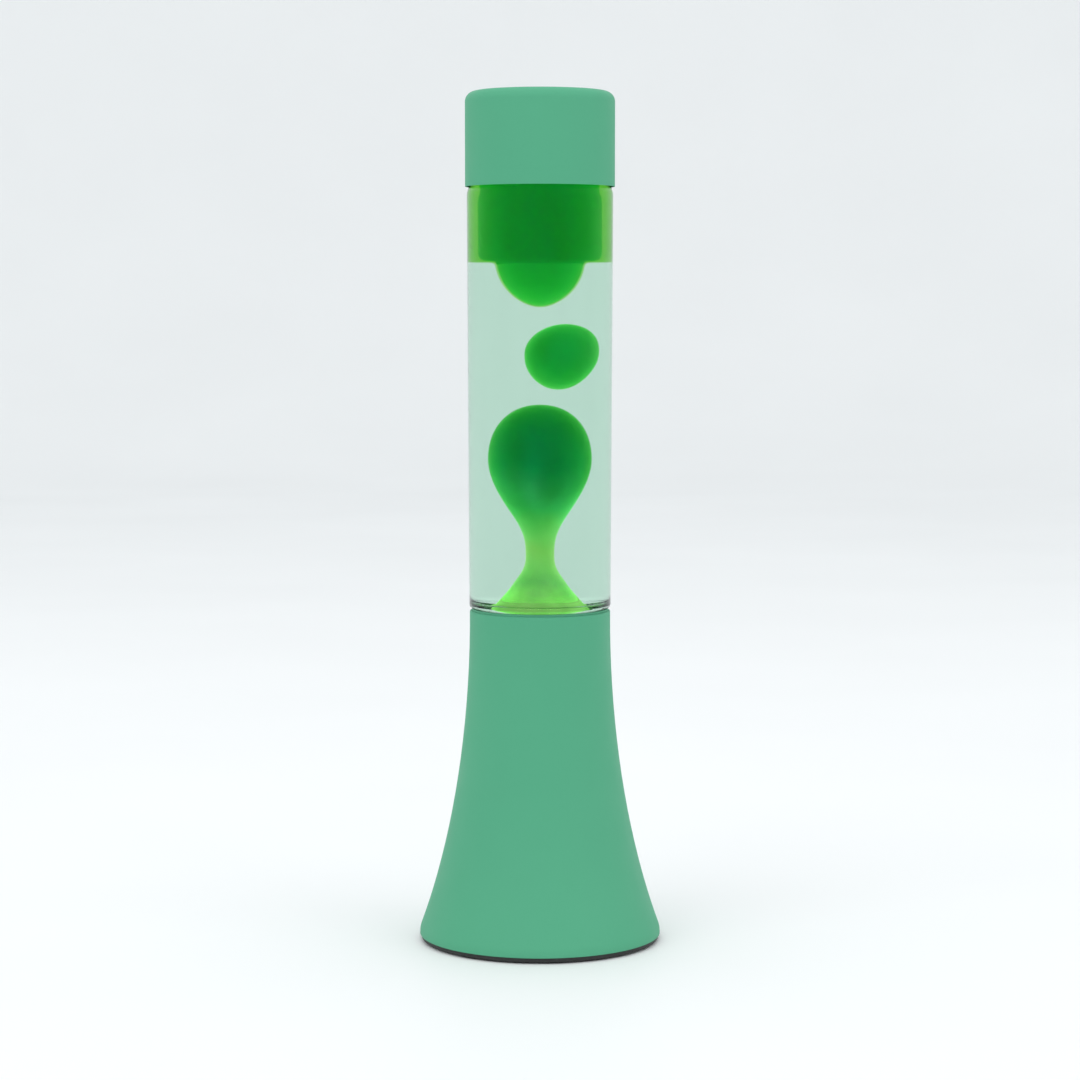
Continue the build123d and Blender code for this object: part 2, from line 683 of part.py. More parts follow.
# ---------------------------------------------------------------- bottle
def bottle_wall(inset):
    """The bottle's side from the middle of its floor up to its neck, on the active line builder."""
    low = BOTTLE_BOTTOM + inset
    spigot_r = SPIGOT_R - inset
    kick = Bezier((0, low + FLOOR_KICK), (8, low + FLOOR_KICK), (8, low), (14, low))
    floor_ring = Line(kick @ 1, (spigot_r - HEEL_R, low))
    heel = JernArc(floor_ring @ 1, (1, 0), HEEL_R, 90)
    spigot = Line(heel @ 1, (spigot_r, STEP_Z - SPIGOT_ROOT_R + inset))
    root = JernArc(spigot @ 1, (0, 1), SPIGOT_ROOT_R, -90)
    step = Line(root @ 1, (BODY_BOTTOM_R - STEP_CORNER_R - inset, STEP_Z + inset))
    corner = JernArc(step @ 1, (1, 0), STEP_CORNER_R, 90)
    body = Line(corner @ 1, (BODY_TOP_R - inset, SHOULDER_Z))
    shoulder = JernArc(body @ 1, (0, 1), SHOULDER_R - inset, SHOULDER_TURN)
    turn = radians(SHOULDER_TURN)
    bend_r = NECK_R - inset + (NECK_BEND + inset) * (1 - cos(turn))
    slope_end = shoulder @ 1 + Vector(-sin(turn), cos(turn)) * (((shoulder @ 1).X - bend_r) / sin(turn))
    slope = Line(shoulder @ 1, slope_end)
    return JernArc(slope @ 1, slope % 1, NECK_BEND + inset, -SHOULDER_TURN)


def cavity_section(top):
    """Half the section of the bottle's inside up to a height: local x is the radius and local y is z."""
    with BuildSketch() as section:
        with BuildLine():
            neck_start = bottle_wall(GLASS_T)
            Polyline(
                neck_start @ 1,
                (NECK_R - GLASS_T, NECK_TOP + 1),
                (0, NECK_TOP + 1),
                (0, BOTTLE_BOTTOM + GLASS_T + FLOOR_KICK),
            )
        make_face()
        with Locations((0, top)):
            Rectangle(2 * BODY_TOP_R, TOTAL_H, align=(Align.MIN, Align.MIN), mode=Mode.SUBTRACT)
    return section.sketch_local


with BuildPart() as bottle_glass:
    with BuildSketch(Plane.XZ):
        with BuildLine():
            neck_foot = bottle_wall(0)
            Polyline(
                neck_foot @ 1,
                (NECK_R, 348.5),
                (NECK_R + 1.2, 349.4),
                (NECK_R + 1.2, 351.4),
                (NECK_R - 0.4, 352.6),
                (NECK_R - 0.4, 355.0),
                (NECK_R + 0.3, 355.6),
                (NECK_R + 0.3, 357.0),
                (NECK_R - 0.7, NECK_TOP),
                (0, NECK_TOP),
                (0, BOTTLE_BOTTOM + FLOOR_KICK),
            )
        make_face()
        add(cavity_section(NECK_TOP + 1), mode=Mode.SUBTRACT)
    revolve(axis=Axis.Z)
save("bottle_glass", bottle_glass.part)

# the coil's wire is wound along the ring; this is the space that its turns fill
with BuildPart() as heating_coil:
    with BuildSketch(Plane.XZ):
        with Locations((COIL_RING_R, COIL_Z)):
            Circle(COIL_R)
    revolve(axis=Axis.Z)
save("heating_coil", heating_coil.part)

# wax gathered under the shoulder, with a lobe hanging from it
with BuildPart() as wax_top:
    with BuildSketch(Plane.XZ) as wax_top_section:
        with BuildLine():
            lobe = Bezier((0, LOBE_BOTTOM), (5.2, LOBE_BOTTOM), (12.9, 283.4), (LOBE_R, 294.4))
            cusp = Bezier(lobe @ 1, (LOBE_R + 0.2, 295.8), (LOBE_R + 0.8, WAX_TOP_EDGE), (17.0, WAX_TOP_EDGE))
            wall_low_r = bore_r(301.5) - WAX_FILM
            under = Bezier(cusp @ 1, (25.5, WAX_TOP_EDGE), (wall_low_r, 297.2), (wall_low_r, 301.5))
            wall = Line(under @ 1, (bore_r(323) - WAX_FILM, 323.0))
            crest = Bezier(wall @ 1, (bore_r(323) - WAX_FILM, 329.0), (20.0, 332.0), (0, 332.0))
            Line(crest @ 1, lobe @ 0)
        make_face()
    revolve(axis=Axis.Z)
save("wax_top", wax_top.part)

# a free ball of wax
BALL_PLANE = Plane(origin=BALL_CENTRE, x_dir=(1, 0, 0), z_dir=(0, -1, 0))
with BuildPart() as wax_ball:
    with BuildSketch(BALL_PLANE):
        Ellipse(BALL_R, BALL_HALF_H)
        Rectangle(2 * BALL_R, 4 * BALL_HALF_H, align=(Align.MAX, Align.CENTER), mode=Mode.SUBTRACT)
    revolve(axis=Axis(BALL_CENTRE, (0, 0, 1)))
save("wax_ball", wax_ball.part)

# wax that rises from the floor, through a narrow neck, into a tall blob
with BuildPart() as wax_column:
    with BuildSketch(Plane.XZ) as wax_column_section:
        with BuildLine():
            wax_floor = BOTTLE_BOTTOM + GLASS_T + WAX_FILM
            wax_r = SPIGOT_R - GLASS_T - WAX_FILM
            kick = Bezier(
                (0, wax_floor + FLOOR_KICK), (8, wax_floor + FLOOR_KICK), (8, wax_floor), (14, wax_floor)
            )
            floor_ring = Line(kick @ 1, (wax_r - HEEL_R, wax_floor))
            heel = JernArc(floor_ring @ 1, (1, 0), HEEL_R, 90)
            side_wall = Line(heel @ 1, (wax_r, 128.0))
            mound = Bezier(side_wall @ 1, (wax_r, 138.0), (12.5, 150.5), (9.0, 157.5))
            neck = Bezier(mound @ 1, (6.4, 162.7), (COLUMN_NECK_R, 164.5), (COLUMN_NECK_R, 170.0))
            throat = Bezier(neck @ 1, (COLUMN_NECK_R, 175.5), (4.9, 178.5), (7.2, 184.0))
            flank = Bezier(throat @ 1, (9.7, 190.0), (COLUMN_R, 200.5), (COLUMN_R, 211.8))
            crest = Bezier(flank @ 1, (COLUMN_R, 224.5), (11.0, COLUMN_TOP), (0, COLUMN_TOP))
            Line(crest @ 1, kick @ 0)
        make_face()
        with Locations((COIL_RING_R, COIL_Z)):
            Circle(COIL_R + FIT, mode=Mode.SUBTRACT)
    revolve(axis=Axis.Z)
save("wax_column", wax_column.part)

# the liquid fills what the wax leaves, with a channel for the ball to rise and fall in
with BuildPart() as liquid:
    with BuildSketch(Plane.XZ):
        add(cavity_section(LIQUID_TOP))
        add(wax_top_section.sketch_local, mode=Mode.SUBTRACT)
        add(wax_column_section.sketch_local, mode=Mode.SUBTRACT)
        with Locations((COIL_RING_R, COIL_Z)):
            Circle(COIL_R + FIT, mode=Mode.SUBTRACT)
    revolve(axis=Axis.Z)
    with BuildSketch(BALL_PLANE):
        SlotOverall(2 * (BALL_HALF_H + BALL_TRAVEL + GAP), 2 * (BALL_R + GAP), rotation=90)
        Rectangle(4 * BALL_R, 4 * BALL_HALF_H, align=(Align.MAX, Align.CENTER), mode=Mode.SUBTRACT)
    revolve(axis=Axis(BALL_CENTRE, (0, 0, 1)), mode=Mode.SUBTRACT)
save("liquid", liquid.part)

# ---------------------------------------------------------------- crown closure of the bottle
LINER_DISC_R = NECK_R - 0.2
LINER_DISC_T = 0.8
CROWN_UNDER = NECK_TOP + LINER_DISC_T + 2 * FIT
with BuildPart() as crown_liner:
    with BuildSketch(Plane.XY.offset(NECK_TOP + FIT)):
        Circle(LINER_DISC_R)
    extrude(amount=LINER_DISC_T)
save("crown_liner", crown_liner.part)

with BuildPart() as crown_cap:
    revolved([
        (0, CROWN_UNDER),
        (NECK_R - 0.1, CROWN_UNDER),
        (NECK_R + 0.6, CROWN_UNDER - 1.4),
        (CROWN_R - CROWN_T, 353.4),
        (CROWN_R, 353.4),
        (NECK_R + 1.2, CROWN_UNDER - 0.9),
        (NECK_R + 0.1, CROWN_UNDER + CROWN_T),
        (0, CROWN_UNDER + CROWN_T),
    ])
save("crown_cap", crown_cap.part)

# ---------------------------------------------------------------- lift-off cap
with BuildPart() as cap_shell:
    with BuildSketch(Plane.XZ):
        with BuildLine():
            outside = Line((CAP_R, CAP_Z), (CAP_R, TOTAL_H - CAP_EDGE_R))
            edge = JernArc(outside @ 1, (0, 1), CAP_EDGE_R, 90)
            inner_edge_r = CAP_EDGE_R - CAP_T
            Polyline(edge @ 1, (0, TOTAL_H), (0, TOTAL_H - CAP_T), (CAP_R - CAP_EDGE_R, TOTAL_H - CAP_T))
            inner_edge = JernArc((CAP_R - CAP_EDGE_R, TOTAL_H - CAP_T), (1, 0), inner_edge_r, -90)
            Polyline(inner_edge @ 1, (CAP_R - CAP_T, CAP_Z), outside @ 0)
        make_face()
    revolve(axis=Axis.Z)
save("cap_shell", cap_shell.part)

# soft ring pressed into the cap, which rests on the bottle's shoulder
with BuildPart() as cap_grip_ring:
    revolved([
        (GRIP_HOLE_R, GRIP_Z),
        (CAP_R - CAP_T - FIT, GRIP_Z),
        (CAP_R - CAP_T - FIT, GRIP_Z + GRIP_H),
        (GRIP_HOLE_R, GRIP_Z + GRIP_H),
    ])
save("cap_grip_ring", cap_grip_ring.part)
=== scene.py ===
"""Looks for the lava lamp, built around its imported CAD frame. Metres, +Z up, the CAD's own frame."""

import math

import bmesh
import bpy
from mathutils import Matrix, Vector, noise


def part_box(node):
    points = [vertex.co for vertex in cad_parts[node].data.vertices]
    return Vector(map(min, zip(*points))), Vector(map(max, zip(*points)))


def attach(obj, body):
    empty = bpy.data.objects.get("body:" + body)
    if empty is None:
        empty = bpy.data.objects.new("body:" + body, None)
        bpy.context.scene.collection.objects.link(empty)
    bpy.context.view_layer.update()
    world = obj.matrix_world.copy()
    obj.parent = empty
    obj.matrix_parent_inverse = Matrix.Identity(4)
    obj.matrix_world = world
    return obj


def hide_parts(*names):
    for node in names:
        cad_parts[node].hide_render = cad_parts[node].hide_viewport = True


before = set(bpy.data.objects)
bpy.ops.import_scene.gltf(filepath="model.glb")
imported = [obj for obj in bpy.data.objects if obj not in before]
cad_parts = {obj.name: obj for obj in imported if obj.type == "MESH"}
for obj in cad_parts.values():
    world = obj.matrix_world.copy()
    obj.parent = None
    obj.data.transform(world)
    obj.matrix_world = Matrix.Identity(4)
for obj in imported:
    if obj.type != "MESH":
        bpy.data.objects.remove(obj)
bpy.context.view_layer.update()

MM = 0.001
TAU = math.tau


# ---------------------------------------------------------------- places, read from the frame
def low_high(node):
    """The lowest and highest z of a CAD node."""
    low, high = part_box(node)
    return low[2], high[2]


def outer_radius(node):
    """Half the width of a CAD node that is round about Z."""
    low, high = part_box(node)
    return (high[0] - low[0]) / 2


LIQUID_LOW, LIQUID_TOP = low_high("liquid")
BORE_TOP_R = outer_radius("liquid")  # the bottle's bore, just under the shoulder
BALL_LOW, BALL_HIGH = (Vector(corner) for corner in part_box("wax_ball"))
LOBE_LOW, WAX_TOP_HIGH = low_high("wax_top")
COLUMN_LOW, COLUMN_HIGH = low_high("wax_column")
SPIGOT_WAX_R = outer_radius("wax_column")
LAMP_TOP = low_high("cap_shell")[1]
RIM_Z = low_high("base_shell")[1]

LOBE_R = 14.5 * MM
FILM = 0.35 * MM  # liquid left between the top mass of wax and the glass
SPIGOT_FILM = 0.3 * MM  # liquid left between the wax and the glass inside the spigot
BORE_TAPER = 0.8 * MM  # the bore's radius is this much smaller at the step than under the shoulder
SEAT_GAP = 1.1 * MM  # the gasket and its clearance, between the base's rim and the bottle's step
GLASS_T = 2.3 * MM
FLOOR_KICK = 3 * MM  # how far the middle of the bottle's floor stands up
KICK_TOP_R = 8 * MM
KICK_FOOT_R = 14 * MM
SHOULDER_Z = LIQUID_TOP - 11.8 * MM


# ---------------------------------------------------------------- mesh helpers
def bezier(p0, p1, p2, p3, steps=16):
    """Points along a cubic curve, without its first point."""
    points = []
    for i in range(1, steps + 1):
        t = i / steps
        weights = ((1 - t) ** 3, 3 * (1 - t) ** 2 * t, 3 * (1 - t) * t**2, t**3)
        points.append(tuple(sum(w * p[k] for w, p in zip(weights, (p0, p1, p2, p3))) for k in (0, 1)))
    return points


def kicked_floor(z, steps=16):
    """The start of an outline on the bottle's floor: the kick in its middle, down to height z."""
    middle = (0, z + FLOOR_KICK)
    return [middle, *bezier(middle, (KICK_TOP_R, z + FLOOR_KICK), (KICK_TOP_R, z), (KICK_FOOT_R, z), steps)]


def smooth_object(name, bm, material):
    """A smooth-shaded object in the scene, made from a bmesh."""
    mesh = bpy.data.meshes.new(name)
    bm.to_mesh(mesh)
    bm.free()
    mesh.polygons.foreach_set("use_smooth", [True] * len(mesh.polygons))
    mesh.materials.append(material)
    made = bpy.data.objects.new(name, mesh)
    bpy.context.scene.collection.objects.link(made)
    return made


def finished(name, bm, body, replaces, material):
    """Turns a bmesh into a piece that rides on a body and stands for CAD nodes."""
    bmesh.ops.recalc_face_normals(bm, faces=bm.faces)
    piece = smooth_object(name, bm, material)
    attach(piece, body)
    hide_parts(*replaces)


def lathe(outline, segments, shape=None):
    """A bmesh turned about Z from (radius, z) points that run from the axis to the axis.

    shape(angle, radius, z) returns a moved (x, y, z), for a form that isn't quite round.
    """
    bm = bmesh.new()
    rings = []
    for radius, z in outline:
        on_axis = radius < 1e-7
        ring = []
        for k in range(1 if on_axis else segments):
            angle = TAU * k / segments
            place = (radius * math.cos(angle), radius * math.sin(angle), z)
            ring.append(bm.verts.new(shape(angle, radius, z) if shape else place))
        rings.append(ring)
    for below, above in zip(rings, rings[1:]):
        for k in range(segments):
            after = (k + 1) % segments
            corners = [below[k % len(below)], below[after % len(below)]]
            corners += [above[after % len(above)], above[k % len(above)]]
            distinct = list(dict.fromkeys(corners))
            if len(distinct) > 2:
                bm.faces.new(distinct)
    return bm


def tube_wall(outer, inner, segments, rows, z_low, z_high):
    """A bmesh sheet of metal rolled round Z: outer and inner are radius functions of (angle, z)."""
    bm = bmesh.new()
    skins = []
    for radius_at in (outer, inner):
        skin = []
        for i in range(rows + 1):
            z = z_low + (z_high - z_low) * i / rows
            ring = []
            for k in range(segments):
                angle = TAU * k / segments
                radius = radius_at(angle, z)
                ring.append(bm.verts.new((radius * math.cos(angle), radius * math.sin(angle), z)))
            skin.append(ring)
        skins.append(skin)
    outside, inside = skins
    strips = [*zip(outside, outside[1:]), *zip(inside, inside[1:])]
    strips += [(outside[0], inside[0]), (outside[-1], inside[-1])]
    for below, above in strips:
        for k in range(segments):
            after = (k + 1) % segments
            bm.faces.new((below[k], below[after], above[after], above[k]))
    return bm


def wire(name, points, radius, body, material, replaces, resolution, cyclic=False):
    """A round wire through the points, as a mesh; cyclic joins its ends."""
    curve = bpy.data.curves.new(name, "CURVE")
    curve.dimensions = "3D"
    curve.bevel_depth = radius
    curve.bevel_resolution = resolution
    curve.use_fill_caps = not cyclic
    spline = curve.splines.new("POLY")
    spline.points.add(len(points) - 1)
    for point, place in zip(spline.points, points):
        point.co = (*place, 1)
    spline.use_cyclic_u = cyclic
    path = bpy.data.objects.new(name + "_path", curve)
    bpy.context.scene.collection.objects.link(path)
    evaluated = path.evaluated_get(bpy.context.evaluated_depsgraph_get())
    solid = bpy.data.meshes.new_from_object(evaluated)
    bm = bmesh.new()
    bm.from_mesh(solid)
    bpy.data.objects.remove(path)
    bpy.data.curves.remove(curve)
    bpy.data.meshes.remove(solid)
    bmesh.ops.remove_doubles(bm, verts=bm.verts, dist=radius * 0.01)
    finished(name, bm, body, replaces, material)


# ---------------------------------------------------------------- materials
DIM_GLINT = (0.06, 0.06, 0.06, 1)  # a specular tint that leaves only faint reflections on glass and liquid


class Look:
    """A node material around one Principled shader, with object-space noise for its variation."""

    def __init__(self, name, **uniform):
        self.material = bpy.data.materials.new(name)
        self.material.use_nodes = True
        self.nodes = self.material.node_tree.nodes
        self.links = self.material.node_tree.links
        self.shader = self.nodes["Principled BSDF"]
        self.place = self.nodes.new("ShaderNodeTexCoord").outputs["Object"]
        for socket, value in uniform.items():
            self.set(socket, value)

    def set(self, socket, value):
        """A value that is the same all over, set on the shader's own socket."""
        self.shader.inputs[socket.replace("_", " ")].default_value = value

    def feed(self, output, socket):
        """A varying value, linked to the shader."""
        self.links.new(output, self.shader.inputs[socket])

    def noise(self, scale, detail=3.0, stretch=(1, 1, 1)):
        """Noise over object coordinates, finer along the axes with a larger stretch."""
        mapping = self.nodes.new("ShaderNodeMapping")
        mapping.inputs["Scale"].default_value = stretch
        self.links.new(self.place, mapping.inputs["Vector"])
        texture = self.nodes.new("ShaderNodeTexNoise")
        texture.inputs["Scale"].default_value = scale
        texture.inputs["Detail"].default_value = detail
        self.links.new(mapping.outputs["Vector"], texture.inputs["Vector"])
        return texture.outputs["Fac"]

    def ramp(self, factor, stops):
        """A colour ramp: stops are (position, colour)."""
        node = self.nodes.new("ShaderNodeValToRGB")
        elements = node.color_ramp.elements
        while len(elements) < len(stops):
            elements.new(0.5)
        for element, (position, colour) in zip(elements, stops):
            element.position = position
            element.color = (*colour, 1)
        self.links.new(factor, node.inputs["Fac"])
        return node.outputs["Color"]

    def span(self, factor, low, high, to_low, to_high):
        """A factor mapped from one range to another."""
        node = self.nodes.new("ShaderNodeMapRange")
        for socket, value in zip(("From Min", "From Max", "To Min", "To Max"), (low, high, to_low, to_high)):
            node.inputs[socket].default_value = value
        self.links.new(factor, node.inputs["Value"])
        return node.outputs["Result"]

    def math(self, operation, a, b):
        """A maths node on two outputs or numbers."""
        node = self.nodes.new("ShaderNodeMath")
        node.operation = operation
        for socket, value in zip(node.inputs, (a, b)):
            if isinstance(value, (int, float)):
                socket.default_value = value
            else:
                self.links.new(value, socket)
        return node.outputs["Value"]

    def mix(self, factor, a, b):
        """Two colours mixed by a factor; either may be a plain colour.

        The node's colour sockets come after its float and vector ones: inputs 6 and 7, output 2.
        """
        node = self.nodes.new("ShaderNodeMix")
        node.data_type = "RGBA"
        self.links.new(factor, node.inputs["Factor"])
        for socket, value in zip((node.inputs[6], node.inputs[7]), (a, b)):
            if isinstance(value, tuple):
                socket.default_value = (*value, 1)
            else:
                self.links.new(value, socket)
        return node.outputs[2]

    def height(self):
        """The z coordinate in the object's own frame."""
        node = self.nodes.new("ShaderNodeSeparateXYZ")
        self.links.new(self.place, node.inputs["Vector"])
        return node.outputs["Z"]

    def bump(self, height, strength, distance):
        """Surface relief from a height value."""
        node = self.nodes.new("ShaderNodeBump")
        node.inputs["Strength"].default_value = strength
        node.inputs["Distance"].default_value = distance
        self.links.new(height, node.inputs["Height"])
        self.feed(node.outputs["Normal"], "Normal")


def finish_look(name, colour, other, roughness, grain, relief, **uniform):
    """A finish of two close colours mottled together, with varied roughness and a fine relief."""
    look = Look(name, **uniform)
    mottle = look.noise(grain * 0.12, 4)
    look.feed(look.ramp(mottle, [(0.35, colour), (0.65, other)]), "Base Color")
    fine = look.noise(grain, 3)
    look.feed(look.span(fine, 0.3, 0.7, roughness - 0.05, roughness + 0.07), "Roughness")
    look.bump(fine, 0.25, relief)
    return look.material


def painted_metal():
    """Matt powder coat over spun metal: fine orange peel, faint spinning lines and slight shade changes."""
    look = Look("mint_powder_coat", Specular_IOR_Level=0.2)
    broad = look.noise(9, 2)
    speck = look.noise(2600, 2)
    tone = look.ramp(broad, [(0.3, (0.080, 0.362, 0.208)), (0.7, (0.088, 0.382, 0.220))])
    fleck = look.ramp(speck, [(0.25, (0.064, 0.322, 0.182)), (0.55, (0.089, 0.388, 0.224))])
    look.feed(look.mix(look.span(speck, 0.2, 0.8, 0.25, 0.0), tone, fleck), "Base Color")
    look.feed(look.span(look.noise(60, 3), 0.3, 0.7, 0.50, 0.60), "Roughness")
    peel = look.noise(900, 2)
    rings = look.noise(1, 2, stretch=(3, 3, 900))
    look.bump(look.math("ADD", peel, look.math("MULTIPLY", rings, 0.35)), 0.18, 0.00006)
    return look.material


def bottle_material():
    """Clear blown glass, with very faint ripples.

    Its index is below real glass's, because total reflection at 1.5 turns the bottle's heel black.
    """
    look = Look("bottle_glass", Transmission_Weight=1.0, IOR=1.38, Specular_IOR_Level=0.05)
    look.set("Specular Tint", DIM_GLINT)
    look.set("Base Color", (0.97, 0.99, 0.985, 1))
    look.feed(look.span(look.noise(40, 2), 0.3, 0.7, 0.0, 0.02), "Roughness")
    look.bump(look.noise(28, 1, stretch=(1, 1, 0.35)), 0.12, 0.0004)
    return look.material


def liquid_material():
    """The clear liquid, faintly milky and pale mint."""
    look = Look("liquid_mint", Transmission_Weight=1.0, IOR=1.33, Roughness=0.0, Specular_IOR_Level=0.05)
    look.set("Specular Tint", DIM_GLINT)
    tint = look.noise(18, 2)
    look.feed(look.ramp(tint, [(0.3, (0.60, 0.815, 0.685)), (0.7, (0.62, 0.83, 0.705))]), "Base Color")
    return look.material


def wax_material(name, painted_light, dye, dye_density, index=1.02):
    """Dyed see-through wax: glow lists (height, light) up the lamp, dye is what a thick layer lets through.

    Its index is the wax's against the liquid around it, so it is close to 1. The emission is painted light:
    it stands for bulb light scattered in the wax, darker towards the top, with painted shade in dark streaks.
    """
    look = Look(name, Roughness=0.04, IOR=index, Transmission_Weight=1.0, Specular_IOR_Level=0.05)
    height = look.height()
    wobble = look.span(look.noise(60, 3), 0.3, 0.7, -0.004, 0.004)
    low, high = painted_light[0][0], painted_light[-1][0]
    level = look.span(look.math("ADD", height, wobble), low, high, 0.0, 1.0)
    # painted light: emission by height, standing for bulb light, bright low down and darker higher up
    light = look.ramp(level, [((z - low) / (high - low), colour) for z, colour in painted_light])
    # painted shade: noise streaks that darken the painted light
    painted_shade_streak = look.span(look.noise(70, 2, stretch=(1, 1, 0.35)), 0.35, 0.70, 0.0, 0.55)
    look.feed(look.mix(painted_shade_streak, light, (0.001, 0.010, 0.006)), "Emission Color")
    look.set("Emission Strength", 1.0)
    mottle = look.noise(55, 3)
    look.feed(look.ramp(mottle, [(0.3, (0.55, 0.84, 0.36)), (0.7, (0.62, 0.88, 0.42))]), "Base Color")
    look.bump(look.noise(90, 2), 0.1, 0.0005)
    absorb = look.nodes.new("ShaderNodeVolumeAbsorption")
    absorb.inputs["Color"].default_value = (*dye, 1)
    absorb.inputs["Density"].default_value = dye_density
    look.links.new(absorb.outputs["Volume"], look.nodes["Material Output"].inputs["Volume"])
    return look.material


def reflector_material():
    """The bulb's glass: silvered inside below its widest part, frosted above, and glowing warm."""
    low, high = low_high("bulb_envelope")
    look = Look("bulb_reflector", IOR=1.5)
    share = look.span(look.height(), low, high, 0.0, 1.0)
    silvered = look.span(share, 0.60, 0.66, 1.0, 0.0)
    look.feed(look.mix(silvered, (1.0, 0.93, 0.80), (0.86, 0.86, 0.87)), "Base Color")
    look.feed(silvered, "Metallic")
    look.feed(look.span(silvered, 0.0, 1.0, 0.45, 0.12), "Roughness")
    look.set("Emission Color", (1.0, 0.80, 0.50, 1))
    look.feed(look.span(silvered, 0.0, 1.0, 6.0, 0.0), "Emission Strength")
    look.bump(look.noise(1800, 2), 0.15, 0.00004)
    return look.material


def earth_insulation():
    """Green insulation with a yellow stripe that winds round it."""
    look = Look("earth_insulation", Roughness=0.4)
    wave = look.nodes.new("ShaderNodeTexWave")
    wave.wave_type = "BANDS"
    wave.bands_direction = "DIAGONAL"
    wave.inputs["Scale"].default_value = 90
    look.links.new(look.place, wave.inputs["Vector"])
    green, yellow = (0.05, 0.28, 0.05), (0.75, 0.60, 0.04)
    look.feed(look.ramp(wave.outputs["Fac"], [(0.45, green), (0.55, yellow)]), "Base Color")
    look.bump(look.noise(800, 2), 0.1, 0.00005)
    return look.material


MINT = painted_metal()
BLACK_ABS = finish_look("black_abs", (0.012, 0.012, 0.012), (0.018, 0.018, 0.018), 0.55, 1500, 0.00008)
RUBBER = finish_look("rubber", (0.020, 0.020, 0.021), (0.032, 0.032, 0.033), 0.75, 900, 0.0001)
ZINC = finish_look("zinc_plate", (0.62, 0.64, 0.66), (0.70, 0.69, 0.64), 0.30, 700, 0.00003, Metallic=1.0)
NYLON = finish_look("white_nylon", (0.78, 0.76, 0.68), (0.84, 0.82, 0.75), 0.42, 500, 0.00005,
                    Subsurface_Weight=0.1, Subsurface_Scale=0.001)
BRASS = finish_look("brass", (0.72, 0.50, 0.20), (0.80, 0.58, 0.26), 0.25, 800, 0.00002, Metallic=1.0)
TINNED = finish_look("tinned_brass", (0.66, 0.66, 0.64), (0.74, 0.73, 0.70), 0.32, 800, 0.00002, Metallic=1.0)
BAKELITE = finish_look("bakelite", (0.030, 0.017, 0.012), (0.050, 0.028, 0.018), 0.28, 350, 0.00004)
BROWN = finish_look("brown_insulation", (0.17, 0.065, 0.030), (0.21, 0.085, 0.040), 0.42, 600, 0.00003)
BLUE = finish_look("blue_insulation", (0.030, 0.11, 0.38), (0.040, 0.14, 0.44), 0.42, 600, 0.00003)
SILICONE = finish_look("clear_silicone", (0.62, 0.80, 0.70), (0.70, 0.86, 0.77), 0.25, 400, 0.00003,
                       Transmission_Weight=0.9, IOR=1.41)
MINT_SILICONE = finish_look("mint_silicone", (0.085, 0.37, 0.21), (0.095, 0.39, 0.23), 0.50, 400, 0.00003,
                            Specular_IOR_Level=0.2)
BLACK_GLASS = finish_look("black_glass", (0.006, 0.006, 0.008), (0.012, 0.012, 0.014), 0.10, 300, 0.00002)
NICKEL = finish_look("nickel_plate", (0.66, 0.63, 0.56), (0.74, 0.71, 0.64), 0.22, 700, 0.00002, Metallic=1.0)
SOLDER = finish_look("solder", (0.52, 0.52, 0.54), (0.62, 0.62, 0.63), 0.34, 900, 0.00005, Metallic=1.0)
FILAMENT_WIRE = finish_look("filament_wire", (0.45, 0.45, 0.46), (0.55, 0.55, 0.56), 0.35, 900, 0.00001,
                            Metallic=1.0)
SPRING_WIRE = finish_look("spring_wire", (0.50, 0.50, 0.48), (0.60, 0.59, 0.56), 0.25, 900, 0.00001,
                          Metallic=1.0)
TINPLATE = finish_look("lacquered_tinplate", (0.70, 0.62, 0.40), (0.76, 0.69, 0.47), 0.28, 500, 0.00002,
                       Metallic=1.0)
FOAM = finish_look("foam_ring", (0.030, 0.030, 0.032), (0.055, 0.055, 0.057), 0.90, 1400, 0.0003)
GLASS = bottle_material()
LIQUID = liquid_material()
# painted light: these four tables give each wax piece's emission by height, standing for bulb light, brighter
# low down and darker higher up
RISING_PAINTED_LIGHT = [
    (0.116, (0.32, 0.62, 0.17)),
    (0.150, (0.32, 0.62, 0.17)),
    (0.158, (0.17, 0.22, 0.14)),
    (0.172, (0.15, 0.14, 0.07)),
    (0.190, (0.036, 0.20, 0.11)),
    (0.208, (0.001, 0.10, 0.05)),
    (0.234, (0.0005, 0.03, 0.034)),
]
BALL_PAINTED_LIGHT = [(0.240, (0.003, 0.14, 0.046)), (0.255, (0.003, 0.12, 0.042)), (0.270, (0.003, 0.10, 0.038))]
TOP_PAINTED_LIGHT = [
    (0.277, (0.006, 0.10, 0.058)),
    (0.292, (0.003, 0.06, 0.048)),
    (0.302, (0.001, 0.055, 0.050)),
    (0.332, (0.001, 0.045, 0.050)),
]
THIN_PAINTED_LIGHT = [(0.277, (0.004, 0.020, 0.002)), (0.297, (0.003, 0.008, 0.002)), (0.332, (0.002, 0.004, 0.002))]
DEEP_DYE = (0.22, 0.80, 0.16)
CORE_DYE = (0.02, 0.86, 0.31)
THIN_DYE = (0.46, 0.90, 0.01)
WAX_RISING = wax_material("wax_rising", RISING_PAINTED_LIGHT, DEEP_DYE, 260)
WAX_BALL = wax_material("wax_drop", BALL_PAINTED_LIGHT, DEEP_DYE, 260)
WAX_TOP = wax_material("wax_top_core", TOP_PAINTED_LIGHT, CORE_DYE, 160)
WAX_THIN = wax_material("wax_top_thin", THIN_PAINTED_LIGHT, THIN_DYE, 54, index=1.0)
REFLECTOR = reflector_material()
EARTH = earth_insulation()

